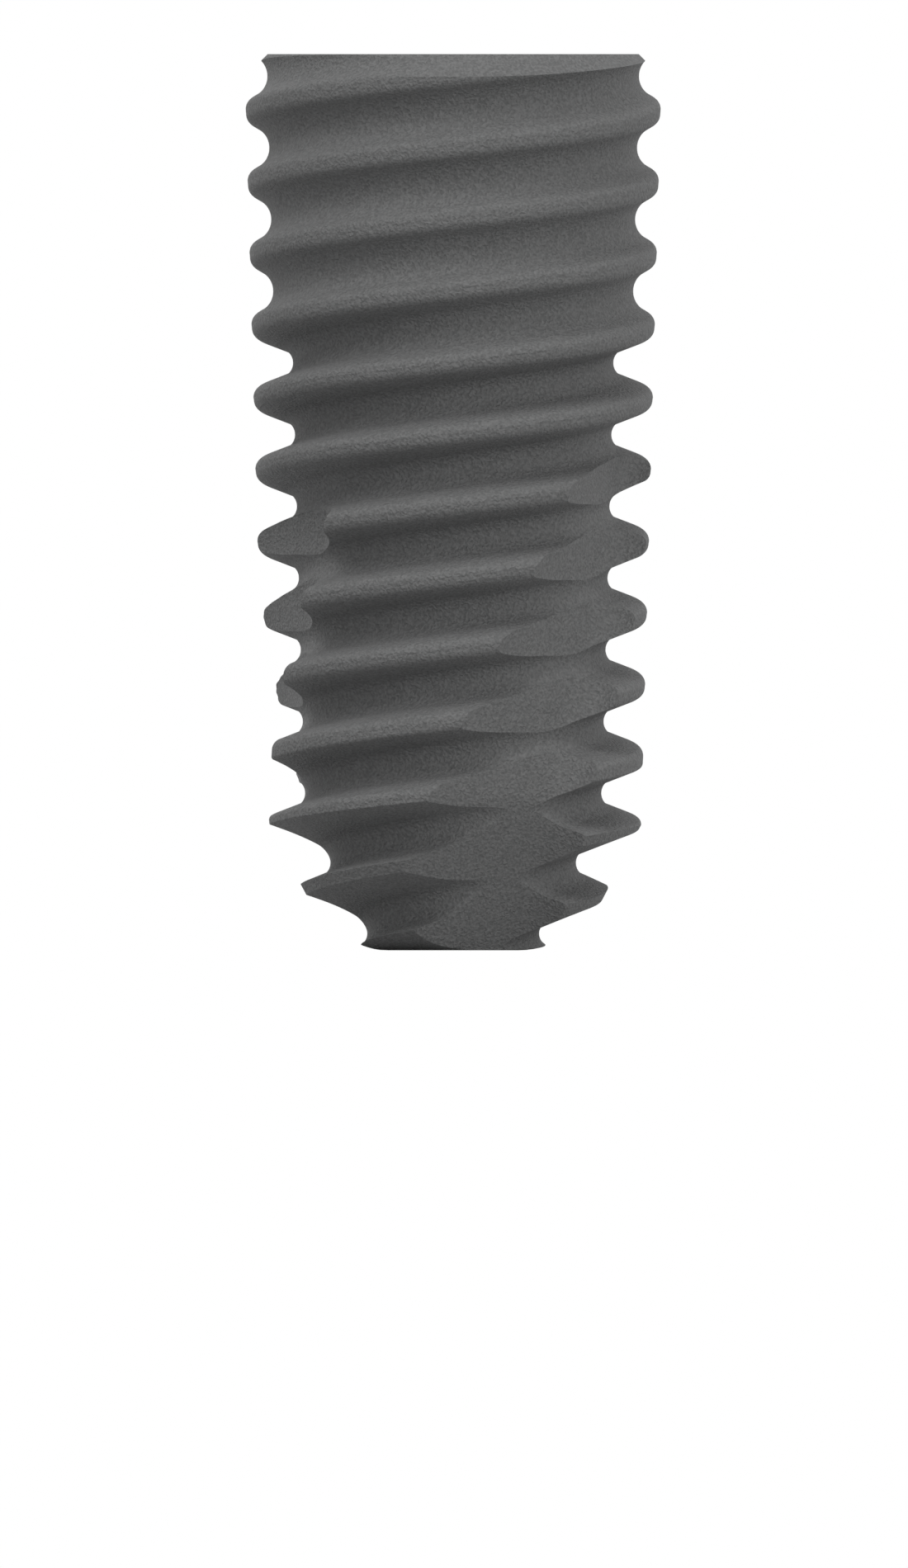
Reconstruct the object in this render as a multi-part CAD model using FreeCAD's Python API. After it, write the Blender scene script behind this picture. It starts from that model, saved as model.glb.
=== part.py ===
import FreeCAD, Part
import math
import os

# A tapered, self-tapping dental implant: one turned and milled titanium screw, in millimetres.
# The frame: origin at the centre of the flat apex, +Z up the axis to the platform.
# A double-start thread runs its whole length: shallow round grooves in the upper third, deep
# ones below. Three cutting flutes rise from the apex. The platform opens into a bevelled
# hexagonal socket with a screw bore below it. Small arcs are cut into a few flat-sided strips.

V = FreeCAD.Vector

# Overall form
length = 10.0
platform_diameter = 4.66
apex_line_diameter = 4.12
rim_flat_diameter = 4.14

# Apex: a cone with a rounded end and a small flat
apex_cone_height = 1.40
apex_cone_angle = 27.4
apex_end_radius = 1.06

# Thread
pitch = 0.80
starts = 2
groove_height_at_x = 8.952
crest_shoulder_radius = 0.11
upper_groove_depth = 0.25
upper_flank_angle = 30.0
upper_floor_radius = 0.28
lower_groove_depth = 0.45
lower_flank_angle = 20.0
lower_floor_radius = 0.205
apex_groove_depth = 0.50
depth_change_height = 6.95
depth_change_span = 0.80
knee_blend = 0.05

# Cutting flutes: a flat floor, open on one side, and a round corner on the other. The first is
# at the front; each next one round is a step narrower and runs out a step lower.
flute_count = 3
flute_angle = 27.8
flute_twist = 12.8
flute_twist_start = 1.71
flute_depth = 0.41
flute_apex_depth = 0.54
flute_corner_offset = 0.17
flute_corner_step = 0.08
flute_corner_radius = 0.46
flute_corner_turn = 80.0
flute_runout_height = 5.15
flute_runout_step = 0.30
flute_runout_radius = 0.80

# Connection: entry bevel, hexagon, lead-in cone and screw bore
hexagon_across_flats = 2.50
hexagon_depth = 1.90
entry_bevel_diameter = 3.20
entry_bevel_angle = 45.0
lead_in_angle = 45.0
screw_bore_diameter = 1.60
screw_bore_depth = 5.20
drill_point_angle = 118.0

# Modelling values
samples_per_turn = 12
floor_facets = 2
shoulder_facets = 2
end_facets = 4
flute_corner_facets = 3
crest_clearance = 0.06
most_crest_share = 0.45
overrun = 0.50
flute_samples = 20

lead = starts * pitch
taper = (platform_diameter - apex_line_diameter) / 2 / length
apex_slope = math.tan(math.radians(apex_cone_angle))


def smooth_step(value, low, high):
    t = min(1.0, max(0.0, (value - low) / (high - low)))
    return t * t * (3 - 2 * t)


def smooth_minimum(a, b, blend):
    return (a + b - math.hypot(a - b, blend)) / 2


def crest_line(z):
    """Radius of the line that the thread crests lie on."""
    return apex_line_diameter / 2 + taper * z


def apex_line(z):
    """Radius of the apex cone, held constant a little below the apex plane."""
    level = max(z, -overrun)
    return crest_line(apex_cone_height) - (apex_cone_height - level) * apex_slope


def thread_form(groove_height):
    """Groove depth, flank angle and floor radius of the turn whose centre is at this height."""
    low = depth_change_height - depth_change_span / 2
    t = smooth_step(groove_height, low, low + depth_change_span)
    depth = lower_groove_depth + t * (upper_groove_depth - lower_groove_depth)
    flank = lower_flank_angle + t * (upper_flank_angle - lower_flank_angle)
    floor = lower_floor_radius + t * (upper_floor_radius - lower_floor_radius)
    return depth, math.radians(flank), floor


def root_radius(z, depth):
    return smooth_minimum(crest_line(z) - depth, apex_line(z) - apex_groove_depth, knee_blend)


def crest_radius(z):
    """Crest of the untrimmed thread: a little outside the apex cone, which trims it."""
    return smooth_minimum(crest_line(z), apex_line(z) + crest_clearance, knee_blend / 2)


def flank_corner(groove_height, side):
    """Where a flank would meet the crest line without its shoulder.

    side is 1 for the upper flank and -1 for the lower one. The values are the distance from
    the groove's centre along the axis and the height above the groove's floor.
    """
    depth, flank, floor_radius = thread_form(groove_height)
    root = root_radius(groove_height, depth)
    floor_edge = floor_radius * math.cos(flank)
    floor_rise = floor_radius * (1 - math.sin(flank))
    corner = 0.4 * pitch
    for _ in range(8):
        height = crest_radius(groove_height + side * corner) - root
        corner = floor_edge + (height - floor_rise) * math.tan(flank)
    return corner, height


def half_section(groove_height, side):
    """Points (radius, height) of one half of a groove, from its centre to its crest."""
    depth, flank, floor_radius = thread_form(groove_height)
    root = root_radius(groove_height, depth)
    turn = math.pi / 2 - flank
    section = []
    for i in range(floor_facets + 1):
        angle = turn * i / floor_facets
        section.append((floor_radius * math.sin(angle), floor_radius * (1 - math.cos(angle))))
    corner, height = flank_corner(groove_height, side)
    next_corner = flank_corner(groove_height + side * pitch, -side)[0]
    # Two shoulders share a crest, so a narrow crest has smaller ones.
    room = most_crest_share * (pitch - corner - next_corner)
    shoulder = min(crest_shoulder_radius, room / math.tan(turn / 2))
    crest_edge = corner + shoulder * math.tan(turn / 2)
    for i in range(shoulder_facets + 1):
        angle = turn * (1 - i / shoulder_facets)
        section.append((crest_edge - shoulder * math.sin(angle),
                        height - shoulder * (1 - math.cos(angle))))
    return [(root + above, groove_height + side * along) for along, above in section]


def around(point, angle):
    radius, z = point
    return V(radius * math.cos(angle), radius * math.sin(angle), z)


def strip(lower, upper, first, last):
    """Ruled face between two rows of points, from point number first to last.

    Each row is a smooth curve through evenly numbered points.
    """
    numbers = [float(i) for i in range(len(lower))]
    poles = []
    for row in (lower, upper):
        curve = Part.BSplineCurve()
        curve.interpolate(Points=row, Parameters=numbers)
        poles.append(curve.getPoles())
    surface = Part.BSplineSurface()
    surface.buildFromPolesMultsKnots(
        poles, [2, 2], curve.getMultiplicities(), [0.0, 1.0], curve.getKnots(),
        False, False, 1, curve.Degree)
    surface.segment(0.0, 1.0, float(first), float(last))
    return surface.toShape()


def sewn_solid(faces):
    shell = Part.makeShell(faces)
    shell.sewShape()
    solid = Part.makeSolid(shell)
    if solid.Volume < 0:
        solid.reverse()
    return solid


def threaded_body():
    """Solid bounded by the whole thread surface, longer than the implant at both ends.

    The curves run on for a spare turn at each end, so that the turns in use join exactly.
    """
    first_turn = math.floor((-overrun - lead - groove_height_at_x) / lead) - 1
    last_turn = math.ceil((length + overrun + pitch - groove_height_at_x) / lead) + 1
    turns = last_turn - first_turn
    angles = []
    for i in range(turns * samples_per_turn + 1):
        angles.append(2 * math.pi * (first_turn + i / samples_per_turn))
    # One row of points for each corner of the section, from the lower crest to the upper one
    # of every start; the last row is the first one again, a turn further on.
    rows = []
    for angle in angles:
        points = []
        for start in range(starts):
            centre = groove_height_at_x + lead * angle / (2 * math.pi) + start * pitch
            points += half_section(centre, -1)[::-1]
            points += half_section(centre, 1)[1:]
        next_centre = groove_height_at_x + lead * (angle / (2 * math.pi) + 1)
        points.append(half_section(next_centre, -1)[-1])
        rows.append([around(point, angle) for point in points])
    rows = [list(row) for row in zip(*rows)]
    faces = []
    for turn in range(1, turns - 1):
        for lower, upper in zip(rows, rows[1:]):
            first = turn * samples_per_turn
            faces.append(strip(lower, upper, first, first + samples_per_turn))
    bottom = samples_per_turn
    top = (turns - 1) * samples_per_turn
    for row, first in ((rows[0], bottom), (rows[-1], top - samples_per_turn)):
        axis = [V(0, 0, point.z) for point in row]
        faces.append(strip(axis, row, first, first + samples_per_turn))
    for index in (bottom, top):
        section = [row[index] for row in rows]
        on_axis = [V(0, 0, section[-1].z), V(0, 0, section[0].z)]
        faces.append(Part.Face(Part.makePolygon(section + on_axis + section[:1])))
    return sewn_solid(faces)


def revolved(points):
    wire = Part.makePolygon([V(r, 0, z) for r, z in points + points[:1]])
    return Part.Face(wire).revolve(V(0, 0, 0), V(0, 0, 1), 360)


def envelope():
    """Turned blank that trims the thread: platform with a bevelled rim, cone, round end, flat."""
    outer = platform_diameter / 2 + overrun
    rim = rim_flat_diameter / 2
    cone_foot = apex_line(0.0)
    # The end arc touches the apex plane and the cone.
    end_turn = math.pi / 2 - math.radians(apex_cone_angle)
    flat = cone_foot - apex_end_radius * math.tan(end_turn / 2)
    outline = [(0, 0)]
    for i in range(end_facets + 1):
        turn = end_turn * i / end_facets
        outline.append((flat + apex_end_radius * math.sin(turn),
                        apex_end_radius * (1 - math.cos(turn))))
    outline += [
        (outer, (outer - cone_foot) / apex_slope),
        (outer, length - (outer - rim)),
        (rim, length),
        (0, length),
    ]
    return revolved(outline)


def flute_floor(z, runout_height):
    """Distance of a flute's floor from the axis; it rises to the crests at its upper end."""
    floor = smooth_minimum(crest_line(z) - flute_depth, apex_line(z) - flute_apex_depth, knee_blend)
    above = z - runout_height
    if above > 0:
        floor += flute_runout_radius - math.sqrt(flute_runout_radius ** 2 - above ** 2)
    return floor


def flute_direction(z):
    """Angle about the axis of the normal to a flute's floor, from the front (-Y) towards +X."""
    blend = 0.3
    above = z - flute_twist_start
    return math.radians(flute_angle + flute_twist * (above + math.hypot(above, blend)) / 2)


def flute_cutter(number):
    """Solid that mills one flute: flat floor, round corner, and room outside the crests."""
    outer = platform_diameter / 2 + overrun
    open_side = -platform_diameter / 2
    corner = flute_corner_offset - number * flute_corner_step
    runout_height = flute_runout_height - number * flute_runout_step
    top = runout_height + 0.95 * flute_runout_radius
    bottom = -0.4 * overrun
    corner_turn = math.radians(flute_corner_turn)
    rows = []
    for i in range(flute_samples + 1):
        z = bottom + (top - bottom) * i / flute_samples
        floor = flute_floor(z, runout_height)
        angle = flute_direction(z) - math.pi / 2 + 2 * math.pi * number / flute_count
        section = [(floor, open_side)]
        for k in range(flute_corner_facets + 1):
            turn = corner_turn * k / flute_corner_facets
            section.append((floor + flute_corner_radius * (1 - math.cos(turn)),
                            corner + flute_corner_radius * math.sin(turn)))
        out, across = section[-1]
        section += [(out + outer, across + outer / math.tan(corner_turn)), (out + outer, open_side)]
        points = []
        for out, across in section:
            x = out * math.cos(angle) - across * math.sin(angle)
            y = out * math.sin(angle) + across * math.cos(angle)
            points.append(V(x, y, z))
        rows.append(points)
    edges = [list(edge) for edge in zip(*rows)]
    faces = [strip(lower, upper, 0, flute_samples)
             for lower, upper in zip(edges, edges[1:] + edges[:1])]
    for points in (rows[0], rows[-1]):
        faces.append(Part.Face(Part.makePolygon(points + points[:1])))
    return sewn_solid(faces)


def connection():
    """Solid that the socket is cut with: entry bevel, hexagon, lead-in cone and screw bore."""
    corner = hexagon_across_flats / math.sqrt(3)
    bore = screw_bore_diameter / 2
    hexagon = Part.makePolygon([
        V(corner * math.cos(math.radians(60 * i)), corner * math.sin(math.radians(60 * i)), 0)
        for i in range(7)])
    hexagon.translate(V(0, 0, length - hexagon_depth))
    socket = Part.Face(hexagon).extrude(V(0, 0, hexagon_depth + overrun))
    bevel_radius = entry_bevel_diameter / 2
    bevel_slope = math.tan(math.radians(entry_bevel_angle))
    bevel = revolved([
        (0, length - bevel_radius / bevel_slope),
        (bevel_radius + overrun, length + overrun / bevel_slope),
        (0, length + overrun / bevel_slope)])
    socket_floor = length - hexagon_depth
    flat = hexagon_across_flats / 2
    lead_in = (flat - bore) / math.tan(math.radians(lead_in_angle))
    bore_floor = length - screw_bore_depth
    point = bore / math.tan(math.radians(drill_point_angle / 2))
    bore_solid = revolved([
        (0, bore_floor - point),
        (bore, bore_floor),
        (bore, socket_floor - lead_in),
        (flat, socket_floor),
        (0, socket_floor)])
    return socket.fuse([bevel, bore_solid])


def implant_body():
    body = threaded_body().common(envelope())
    cutters = [flute_cutter(number) for number in range(flute_count)]
    body = body.cut(cutters)
    return body.cut(connection()).Solids[0]


os.makedirs("parts", exist_ok=True)
implant = implant_body()
implant.exportStep("parts/implant_body.step")
print("solids", len(implant.Solids), "valid", implant.isValid(), "volume", round(implant.Volume, 3))
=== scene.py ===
import math

import bpy
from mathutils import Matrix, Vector


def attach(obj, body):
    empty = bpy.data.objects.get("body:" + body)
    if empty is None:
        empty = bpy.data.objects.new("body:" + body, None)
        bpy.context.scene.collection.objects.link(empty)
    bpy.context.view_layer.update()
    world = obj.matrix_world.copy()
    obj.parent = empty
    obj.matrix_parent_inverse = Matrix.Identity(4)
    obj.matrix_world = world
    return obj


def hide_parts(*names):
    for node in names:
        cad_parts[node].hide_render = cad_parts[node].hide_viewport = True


# A tapered dental implant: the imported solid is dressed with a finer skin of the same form, with
# round groove floors and shoulders, sharp crests at the apex, a threaded screw bore and a blasted
# and etched surface. Lengths are in millimetres until a mesh is made, which is in metres.

MM = 0.001

# Overall form
length = 10.0
platform_diameter = 4.66
apex_line_diameter = 4.12
rim_flat_diameter = 4.14

# Apex: a cone with a rounded end and a small flat
apex_cone_height = 1.40
apex_cone_angle = 27.4
apex_end_radius = 1.06

# Thread
pitch = 0.80
starts = 2
groove_height_at_x = 8.952
crest_shoulder_radius = 0.11
upper_groove_depth = 0.25
upper_flank_angle = 30.0
upper_floor_radius = 0.28
lower_groove_depth = 0.45
lower_flank_angle = 20.0
lower_floor_radius = 0.205
apex_groove_depth = 0.50
depth_change_height = 6.95
depth_change_span = 0.80
knee_blend = 0.05
crest_clearance = 0.06
most_crest_share = 0.45

# Towards the apex the shoulders of the crests shrink to a smaller radius, each from the upper of
# its two heights down to the lower, and a crest's lower shoulder before its upper one
apex_shoulder_radius = 0.015
lower_shoulder_change = (1.60, 3.20)
upper_shoulder_change = (0.80, 1.60)

# Cutting flutes: each next one round is a step narrower and runs out a step lower. A cutter
# starts a little below the apex and ends at a share of its run-out arc, clear of the crests.
flute_count = 3
flute_angle = 27.8
flute_twist = 12.8
flute_twist_start = 1.71
flute_twist_blend = 0.30
flute_depth = 0.41
flute_apex_depth = 0.54
flute_corner_offset = 0.17
flute_corner_step = 0.08
flute_corner_radius = 0.46
flute_corner_turn = 80.0
flute_runout_height = 5.15
flute_runout_step = 0.30
flute_runout_radius = 0.80
flute_runout_share = 0.95
flute_below_apex = 0.20

# Connection
hexagon_across_flats = 2.50
hexagon_depth = 1.90
entry_bevel_diameter = 3.20
screw_bore_diameter = 1.60
screw_bore_depth = 5.20
drill_point_angle = 118.0
drill_point_room = 1.00

# Thread of the screw bore: its root lies a little inside the bore. The heights are within one
# pitch, where the thread starts, has its flat crest and ends. It stops short of the hexagon.
screw_pitch = 0.40
screw_diameter = 2.00
screw_root_inset = 0.01
screw_thread_low = 0.05
screw_thread_crest = (0.17, 0.21)
screw_thread_high = 0.33
screw_thread_stop = 1.00

# The untrimmed thread and the cutters reach past the part by the overrun, and cutters that meet
# inside it share the small overlap. A face is inner up to the margin outside the entry bevel.
overrun = 0.50
small_overlap = 0.05
inner_margin = 0.005

# Fineness of the skin; an edge is sharp where its faces turn by more than the angle
steps_per_turn = 120
screw_steps_per_turn = 48
floor_steps = 9
flank_steps = 2
shoulder_steps = 8
flute_steps = 60
flute_corner_steps = 12
end_steps = 14
round_steps = 96
corner_first_guess = 0.4
corner_rounds = 8
sharp_edge_angle = 11.0

# The photograph's framing: a level view from the front, 1100 by 1900 pixels
photo_size = (1100, 1900)
pixels_per_mm = 108.6
axis_column = 549.0
apex_row = 1151.5
camera_distance = 100.0

# The floor lies a little below the apex, so that light gets in under its rounded end
floor_gap = 0.06
floor_size = 500.0

# Colours: the etched and the machined metal each run from a dark to a pale tone. The floor is
# pale where it is seen, and darker for the light that it throws up at the part.
etched_dark = (0.110, 0.111, 0.111, 1)
etched_pale = (0.158, 0.159, 0.159, 1)
machined_dark = (0.30, 0.305, 0.31, 1)
machined_pale = (0.40, 0.405, 0.41, 1)
floor_seen = (0.80, 0.80, 0.80, 1)
floor_unseen = (0.38, 0.38, 0.38, 1)

# Light
ambient_strength = 0.68
sun_angle = 35.0

lead = starts * pitch
taper = (platform_diameter - apex_line_diameter) / 2 / length
apex_slope = math.tan(math.radians(apex_cone_angle))


def smooth_step(value, low, high):
    t = min(1.0, max(0.0, (value - low) / (high - low)))
    return t * t * (3 - 2 * t)


def smooth_minimum(a, b, blend):
    return (a + b - math.hypot(a - b, blend)) / 2


def crest_line(z):
    """Radius of the line that the thread crests lie on."""
    return apex_line_diameter / 2 + taper * z


def apex_line(z):
    """Radius of the apex cone, held constant a little below the apex plane."""
    level = max(z, -overrun)
    return crest_line(apex_cone_height) - (apex_cone_height - level) * apex_slope


def thread_form(groove_height):
    """Groove depth, flank angle and floor radius of the turn whose centre is at this height."""
    low = depth_change_height - depth_change_span / 2
    t = smooth_step(groove_height, low, low + depth_change_span)
    depth = lower_groove_depth + t * (upper_groove_depth - lower_groove_depth)
    flank = lower_flank_angle + t * (upper_flank_angle - lower_flank_angle)
    floor = lower_floor_radius + t * (upper_floor_radius - lower_floor_radius)
    return depth, math.radians(flank), floor


def root_radius(z, depth):
    return smooth_minimum(crest_line(z) - depth, apex_line(z) - apex_groove_depth, knee_blend)


def crest_radius(z):
    """Crest of the untrimmed thread: a little outside the apex cone, which trims it."""
    return smooth_minimum(crest_line(z), apex_line(z) + crest_clearance, knee_blend / 2)


def shoulder_radius(z, side):
    """Round shoulders above and sharp ones at the apex; side 1 is a crest's lower shoulder."""
    low, high = lower_shoulder_change if side > 0 else upper_shoulder_change
    t = smooth_step(z, low, high)
    return apex_shoulder_radius + t * (crest_shoulder_radius - apex_shoulder_radius)


def flank_corner(groove_height, side):
    """Where a flank would meet the crest line: distance from the groove's centre, and height.

    Each depends on the other, so they are found in rounds from a guess in parts of the pitch.
    """
    depth, flank, floor_radius = thread_form(groove_height)
    root = root_radius(groove_height, depth)
    floor_edge = floor_radius * math.cos(flank)
    floor_rise = floor_radius * (1 - math.sin(flank))
    corner = corner_first_guess * pitch
    for _ in range(corner_rounds):
        height = crest_radius(groove_height + side * corner) - root
        corner = floor_edge + (height - floor_rise) * math.tan(flank)
    return corner, height


def half_section(groove_height, side):
    """Points (radius, height) of one half of a groove, from its centre to its crest."""
    depth, flank, floor_radius = thread_form(groove_height)
    root = root_radius(groove_height, depth)
    turn = math.pi / 2 - flank
    section = []
    for i in range(floor_steps + 1):
        angle = turn * i / floor_steps
        section.append((floor_radius * math.sin(angle), floor_radius * (1 - math.cos(angle))))
    floor_end = section[-1]
    corner, height = flank_corner(groove_height, side)
    next_corner = flank_corner(groove_height + side * pitch, -side)[0]
    room = most_crest_share * (pitch - corner - next_corner)
    shoulder = min(shoulder_radius(groove_height + side * corner, side),
                   room / math.tan(turn / 2))
    crest_edge = corner + shoulder * math.tan(turn / 2)
    arc = []
    for i in range(shoulder_steps + 1):
        angle = turn * (1 - i / shoulder_steps)
        arc.append((crest_edge - shoulder * math.sin(angle),
                    height - shoulder * (1 - math.cos(angle))))
    for i in range(1, flank_steps):
        t = i / flank_steps
        section.append((floor_end[0] + t * (arc[0][0] - floor_end[0]),
                        floor_end[1] + t * (arc[0][1] - floor_end[1])))
    section += arc
    return [(root + above, groove_height + side * along) for along, above in section]


def implant_section(angle):
    """Points (radius, height) up the thread's surface over one lead, at this angle."""
    points = []
    for start in range(starts):
        centre = groove_height_at_x + lead * angle / (2 * math.pi) + start * pitch
        points += half_section(centre, -1)[::-1]
        points += half_section(centre, 1)[1:]
    return points


def screw_section(angle):
    """Points (radius, height) over one pitch of the screw's own thread, at this angle."""
    low = length - screw_bore_depth + screw_pitch * angle / (2 * math.pi)
    root = screw_bore_diameter / 2 - screw_root_inset
    crest = screw_diameter / 2
    crest_low, crest_high = screw_thread_crest
    return [(root, low), (root, low + screw_thread_low), (crest, low + crest_low),
            (crest, low + crest_high), (root, low + screw_thread_high)]


def mesh_object(name, points, faces):
    mesh = bpy.data.meshes.new(name)
    mesh.from_pydata([[c * MM for c in point] for point in points], [], faces)
    mesh.update()
    obj = bpy.data.objects.new(name, mesh)
    bpy.context.scene.collection.objects.link(obj)
    return obj


def helical_solid(name, section, first_turn, turns, steps):
    """Closed mesh of a thread between flat radial ends.

    section gives the points (radius, height) at an angle. A turn further on they stand one
    whole section higher, so the last row of a turn is the first row of the next.
    """
    rows = len(section(0.0))
    count = turns * steps
    points = []
    for i in range(count + 1):
        angle = 2 * math.pi * (first_turn + i / steps)
        for radius, z in section(angle):
            points.append((radius * math.cos(angle), radius * math.sin(angle), z))
    above = len(points)
    for i in range(count - steps + 1, count + 1):
        angle = 2 * math.pi * (first_turn + i / steps)
        radius, z = section(angle + 2 * math.pi)[0]
        points.append((radius * math.cos(angle), radius * math.sin(angle), z))

    def at(i, row):
        if row < rows:
            return i * rows + row
        if i + steps <= count:
            return (i + steps) * rows
        return above + i - (count - steps + 1)

    faces = []
    for i in range(count):
        for row in range(rows):
            faces.append((at(i, row), at(i + 1, row), at(i + 1, row + 1), at(i, row + 1)))
    # The ends: a helical face from the axis to the last curve, and a flat radial face.
    for first, row, flip in ((0, 0, True), (count - steps, rows, False)):
        axis = []
        for i in range(first, first + steps + 1):
            points.append((0.0, 0.0, points[at(i, row)][2]))
            axis.append(len(points) - 1)
        for k in range(steps):
            i = first + k
            face = (axis[k], at(i, row), at(i + 1, row), axis[k + 1])
            faces.append(face[::-1] if flip else face)
        side = first if flip else first + steps
        radial = [at(side, r) for r in range(rows + 1)] + axis[::-1]
        faces.append(radial if flip else radial[::-1])
    return mesh_object(name, points, faces)


def revolved_solid(name, outline):
    """Closed mesh from an outline of (radius, height) that starts and ends on the axis."""
    points = [(0.0, 0.0, outline[0][1])]
    for radius, z in outline[1:-1]:
        for k in range(round_steps):
            angle = 2 * math.pi * k / round_steps
            points.append((radius * math.cos(angle), radius * math.sin(angle), z))
    points.append((0.0, 0.0, outline[-1][1]))
    rings = len(outline) - 2
    faces = []
    last = 1 + (rings - 1) * round_steps
    for k in range(round_steps):
        n = (k + 1) % round_steps
        faces.append((0, 1 + n, 1 + k))
        for ring in range(rings - 1):
            a = 1 + ring * round_steps
            b = a + round_steps
            faces.append((a + k, a + n, b + n, b + k))
        faces.append((last + k, last + n, len(points) - 1))
    return mesh_object(name, points, faces)


def lofted_solid(name, sections):
    """Closed mesh through sections of equally many points, with flat ends."""
    size = len(sections[0])
    points = [point for section in sections for point in section]
    faces = [tuple(range(size))[::-1]]
    for i in range(len(sections) - 1):
        for k in range(size):
            n = (k + 1) % size
            faces.append((i * size + k, i * size + n, (i + 1) * size + n, (i + 1) * size + k))
    last = (len(sections) - 1) * size
    faces.append(tuple(range(last, last + size)))
    return mesh_object(name, points, faces)


def envelope():
    """Turned blank that trims the thread: bevelled rim, apex cone, round end and flat."""
    outer = platform_diameter / 2 + overrun
    rim = rim_flat_diameter / 2
    angle = math.radians(apex_cone_angle)
    foot = apex_line(0.0)
    flat = foot - apex_end_radius * math.tan((math.pi / 2 - angle) / 2)
    outline = [(0, 0)]
    for i in range(end_steps + 1):
        turn = (math.pi / 2 - angle) * i / end_steps
        outline.append((flat + apex_end_radius * math.sin(turn),
                        apex_end_radius * (1 - math.cos(turn))))
    outline += [(outer, (outer - foot) / apex_slope), (outer, length - (outer - rim)),
                (rim, length), (0, length)]
    return revolved_solid("blank", outline)


def flute_floor(z, runout_height):
    """Distance of a flute's floor from the axis; it rises to the crests at its upper end."""
    floor = smooth_minimum(crest_line(z) - flute_depth, apex_line(z) - flute_apex_depth, knee_blend)
    above = z - runout_height
    if above > 0:
        floor += flute_runout_radius - math.sqrt(flute_runout_radius ** 2 - above ** 2)
    return floor


def flute_direction(z):
    """Angle about the axis of the normal to a flute's floor, from the front (-Y) towards +X."""
    above = z - flute_twist_start
    turned = (above + math.hypot(above, flute_twist_blend)) / 2
    return math.radians(flute_angle + flute_twist * turned)


def flute_cutter(number):
    """Solid that mills one flute: flat floor, round corner, and room outside the crests."""
    outer = platform_diameter / 2 + overrun
    corner = flute_corner_offset - number * flute_corner_step
    runout_height = flute_runout_height - number * flute_runout_step
    top = runout_height + flute_runout_share * flute_runout_radius
    bottom = -flute_below_apex
    full_turn = math.radians(flute_corner_turn)
    sections = []
    for i in range(flute_steps + 1):
        z = bottom + (top - bottom) * i / flute_steps
        floor = flute_floor(z, runout_height)
        angle = flute_direction(z) - math.pi / 2 + 2 * math.pi * number / flute_count
        outline = [(floor, -platform_diameter / 2)]
        for k in range(flute_corner_steps + 1):
            turn = full_turn * k / flute_corner_steps
            outline.append((floor + flute_corner_radius * (1 - math.cos(turn)),
                            corner + flute_corner_radius * math.sin(turn)))
        out, across = outline[-1]
        outline.append((out + outer, across + outer / math.tan(full_turn)))
        outline.append((out + outer, -platform_diameter / 2))
        sections.append([(out * math.cos(angle) - across * math.sin(angle),
                          out * math.sin(angle) + across * math.cos(angle), z)
                         for out, across in outline[::-1]])
    return lofted_solid("flute", sections)


def hexagon_cutter():
    corner = hexagon_across_flats / math.sqrt(3)
    sections = []
    for z in (length - hexagon_depth, length + overrun):
        sections.append([(corner * math.cos(math.radians(60 * i)),
                          corner * math.sin(math.radians(60 * i)), z) for i in range(6)])
    return lofted_solid("hexagon", sections)


def bore_cutter():
    """Drilled bore under the hexagon, with its lead-in cone and drill point."""
    bore = screw_bore_diameter / 2
    flat = hexagon_across_flats / 2
    socket_floor = length - hexagon_depth
    bore_floor = length - screw_bore_depth
    point = bore / math.tan(math.radians(drill_point_angle / 2))
    return revolved_solid("bore", [
        (0, bore_floor - point), (bore, bore_floor), (bore, socket_floor - (flat - bore)),
        (flat, socket_floor), (flat - small_overlap, socket_floor + small_overlap),
        (0, socket_floor + small_overlap)])


def bevel_cutter():
    radius = entry_bevel_diameter / 2
    return revolved_solid("bevel", [
        (0, length - radius), (radius + overrun, length + overrun), (0, length + overrun)])


def screw_thread_cutter():
    """Thread of the screw bore, kept inside the bore's straight wall."""
    turns = int((screw_bore_depth - hexagon_depth - screw_thread_stop) / screw_pitch)
    return helical_solid("screw_thread", screw_section, 0, turns, screw_steps_per_turn)


def boolean(target, cutter, operation):
    modifier = target.modifiers.new(operation, "BOOLEAN")
    modifier.operation = operation
    modifier.solver = "MANIFOLD"
    modifier.object = cutter
    depsgraph = bpy.context.evaluated_depsgraph_get()
    mesh = bpy.data.meshes.new_from_object(target.evaluated_get(depsgraph))
    target.modifiers.clear()
    target.data = mesh
    bpy.data.objects.remove(cutter)


def implant_skin():
    first_turn = math.floor((-overrun - lead - groove_height_at_x) / lead)
    last_turn = math.ceil((length + overrun + pitch - groove_height_at_x) / lead)
    skin = helical_solid("implant_skin", implant_section, first_turn, last_turn - first_turn,
                         steps_per_turn)
    boolean(skin, envelope(), "INTERSECT")
    for number in range(flute_count):
        boolean(skin, flute_cutter(number), "DIFFERENCE")
    for cutter in (hexagon_cutter(), bore_cutter(), bevel_cutter(), screw_thread_cutter()):
        boolean(skin, cutter, "DIFFERENCE")
    mesh = skin.data
    mesh.shade_smooth()
    mesh.set_sharp_from_angle(angle=math.radians(sharp_edge_angle))
    return skin


def node(tree, kind, **values):
    """New shader node: each value sets the node's own property or its input of that name."""
    made = tree.nodes.new(kind)
    for name, value in values.items():
        if hasattr(made, name):
            setattr(made, name, value)
        else:
            made.inputs[name.replace("_", " ")].default_value = value
    return made


def new_material(name):
    """New material, with its node tree and its shader."""
    material = bpy.data.materials.new(name)
    material.use_nodes = True
    return material, material.node_tree, material.node_tree.nodes["Principled BSDF"]


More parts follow.
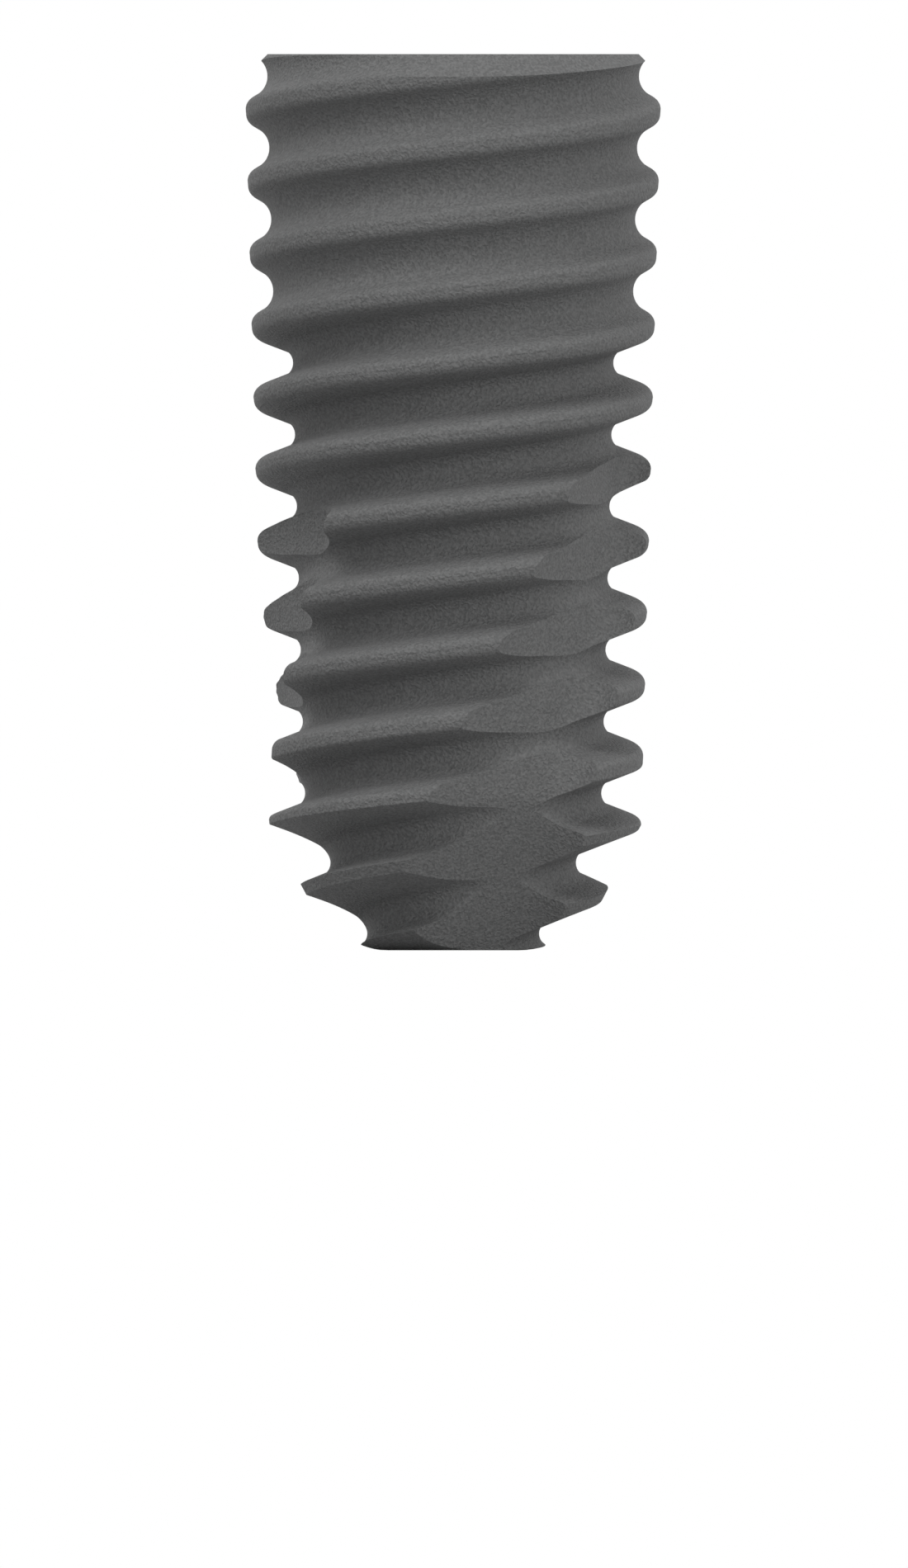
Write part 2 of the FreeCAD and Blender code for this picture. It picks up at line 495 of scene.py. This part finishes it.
def blend_colours(tree, factor, colours, positions=(0.0, 1.0)):
    """Colour that runs from the first to the second as the factor passes the two positions."""
    tone = node(tree, "ShaderNodeValToRGB")
    for element, colour, position in zip(tone.color_ramp.elements, colours, positions):
        element.position = position
        element.color = colour
    tree.links.new(factor, tone.inputs["Fac"])
    return tone.outputs["Color"]


def blend_values(tree, factor, low, high):
    """Value that runs from low to high as the factor goes from 0 to 1."""
    scale = node(tree, "ShaderNodeMapRange", To_Min=low, To_Max=high)
    tree.links.new(factor, scale.inputs["Value"])
    return scale.outputs["Result"]


def bumped_normal(tree, height, strength, distance):
    """Surface normal of a relief; the distance is in metres."""
    bump = node(tree, "ShaderNodeBump", Strength=strength, Distance=distance)
    tree.links.new(height, bump.inputs["Height"])
    return bump.outputs["Normal"]


def etched_titanium():
    """Grit-blasted and acid-etched titanium: matt dark grey with a fine wrinkled grain."""
    material, tree, shader = new_material("etched_titanium")
    shader.inputs["Metallic"].default_value = 0.15
    shader.inputs["Specular IOR Level"].default_value = 0.30
    place = node(tree, "ShaderNodeTexCoord").outputs["Object"]
    grain = node(tree, "ShaderNodeTexNoise", Scale=32000.0, Detail=0.0, Distortion=0.6)
    cloud = node(tree, "ShaderNodeTexNoise", Scale=1400.0, Detail=3.0, Roughness=0.55)
    for texture in (grain, cloud):
        tree.links.new(place, texture.inputs["Vector"])
    mixed = node(tree, "ShaderNodeMix", data_type="FLOAT")
    mixed.inputs["Factor"].default_value = 0.15
    tree.links.new(grain.outputs["Fac"], mixed.inputs["A"])
    tree.links.new(cloud.outputs["Fac"], mixed.inputs["B"])
    colour = blend_colours(tree, mixed.outputs["Result"], (etched_dark, etched_pale), (0.30, 0.70))
    rough = blend_values(tree, cloud.outputs["Fac"], low=0.70, high=0.85)
    normal = bumped_normal(tree, grain.outputs["Fac"], strength=1.0, distance=0.000016)
    tree.links.new(colour, shader.inputs["Base Color"])
    tree.links.new(rough, shader.inputs["Roughness"])
    tree.links.new(normal, shader.inputs["Normal"])
    return material


def machined_titanium():
    """Turned titanium of the connection: brighter, with fine rings about the axis."""
    material, tree, shader = new_material("machined_titanium")
    shader.inputs["Metallic"].default_value = 1.0
    place = node(tree, "ShaderNodeTexCoord").outputs["Object"]
    rings = node(tree, "ShaderNodeTexWave", wave_type="RINGS", rings_direction="Z", Scale=12000.0,
                 Distortion=1.5, Detail=2.0)
    tree.links.new(place, rings.inputs["Vector"])
    colour = blend_colours(tree, rings.outputs["Fac"], (machined_dark, machined_pale))
    rough = blend_values(tree, rings.outputs["Fac"], low=0.28, high=0.42)
    normal = bumped_normal(tree, rings.outputs["Fac"], strength=0.2, distance=0.000004)
    tree.links.new(colour, shader.inputs["Base Color"])
    tree.links.new(rough, shader.inputs["Roughness"])
    tree.links.new(normal, shader.inputs["Normal"])
    return material


def assign_materials(skin):
    """Etched outside; machined in the socket, on its bevel and in the bore."""
    skin.data.materials.clear()
    skin.data.materials.append(etched_titanium())
    skin.data.materials.append(machined_titanium())
    inner = (entry_bevel_diameter / 2 + inner_margin) * MM
    floor = (length - screw_bore_depth - drill_point_room) * MM
    for face in skin.data.polygons:
        corners = [skin.data.vertices[i].co for i in face.vertices]
        inside = all(math.hypot(c.x, c.y) < inner and c.z > floor for c in corners)
        face.material_index = 1 if inside else 0


def seen_directly(tree):
    """1 for rays of the camera, of a reflection and through glass, and 0 for the rest."""
    path = node(tree, "ShaderNodeLightPath")
    seen = path.outputs["Is Camera Ray"]
    for kind in ("Is Glossy Ray", "Is Transmission Ray"):
        either = node(tree, "ShaderNodeMath", operation="MAXIMUM")
        tree.links.new(seen, either.inputs[0])
        tree.links.new(path.outputs[kind], either.inputs[1])
        seen = either.outputs["Value"]
    return seen


def backdrop():
    """Pale floor under the apex; it keeps the shadow and throws little light up at the part."""
    half = floor_size / 2
    z = -floor_gap
    corners = [(-half, -half, z), (half, -half, z), (half, half, z), (-half, half, z)]
    floor = mesh_object("floor", corners, [(0, 1, 2, 3)])
    material, tree, shader = new_material("pale_floor")
    colour = blend_colours(tree, seen_directly(tree), (floor_unseen, floor_seen))
    tree.links.new(colour, shader.inputs["Base Color"])
    shader.inputs["Roughness"].default_value = 0.9
    floor.data.materials.append(material)


def world_light(ambient):
    """Soft ambient light, and plain white where the camera or a reflection sees past the part."""
    world = bpy.data.worlds.new("studio")
    bpy.context.scene.world = world
    world.use_nodes = True
    tree = world.node_tree
    background = tree.nodes["Background"]
    background.inputs["Color"].default_value = (1, 1, 1, 1)
    strength = blend_values(tree, seen_directly(tree), low=ambient, high=1.0)
    tree.links.new(strength, background.inputs["Strength"])


def soft_sun(name, elevation, bearing, strength):
    """Distant soft light; the bearing is measured from the front (-Y) towards +X."""
    data = bpy.data.lights.new(name, "SUN")
    data.energy = strength
    data.angle = math.radians(sun_angle)
    light = bpy.data.objects.new(name, data)
    bpy.context.scene.collection.objects.link(light)
    rise = math.radians(elevation)
    side = math.radians(bearing)
    towards = Vector((math.cos(rise) * math.sin(side), -math.cos(rise) * math.cos(side),
                      math.sin(rise)))
    light.rotation_euler = towards.to_track_quat("Z", "Y").to_euler()


def camera():
    """Level orthographic view from -Y, framed as the photograph is."""
    data = bpy.data.cameras.new("view")
    data.type = "ORTHO"
    data.ortho_scale = photo_size[1] / pixels_per_mm * MM
    data.clip_start = 0.001
    data.clip_end = 1.0
    view = bpy.data.objects.new("view", data)
    bpy.context.scene.collection.objects.link(view)
    across = (photo_size[0] / 2 - axis_column) / pixels_per_mm * MM
    height = (apex_row - photo_size[1] / 2) / pixels_per_mm * MM
    view.location = (across, -camera_distance * MM, height)
    view.rotation_euler = (math.pi / 2, 0, 0)
    bpy.context.scene.camera = view


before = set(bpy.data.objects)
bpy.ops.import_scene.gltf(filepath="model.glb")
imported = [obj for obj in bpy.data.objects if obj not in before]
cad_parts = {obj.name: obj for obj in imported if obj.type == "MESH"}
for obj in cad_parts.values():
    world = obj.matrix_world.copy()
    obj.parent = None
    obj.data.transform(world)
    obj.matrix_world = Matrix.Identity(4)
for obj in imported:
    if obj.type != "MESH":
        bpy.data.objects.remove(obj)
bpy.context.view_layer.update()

skin = implant_skin()
assign_materials(skin)
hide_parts("implant_body")
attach(skin, "root")

backdrop()
world_light(ambient_strength)
soft_sun("upper_left", elevation=55, bearing=-31, strength=1.39)
soft_sun("low_right", elevation=10, bearing=50, strength=0.90)
camera()
bpy.context.scene.view_settings.view_transform = "Standard"
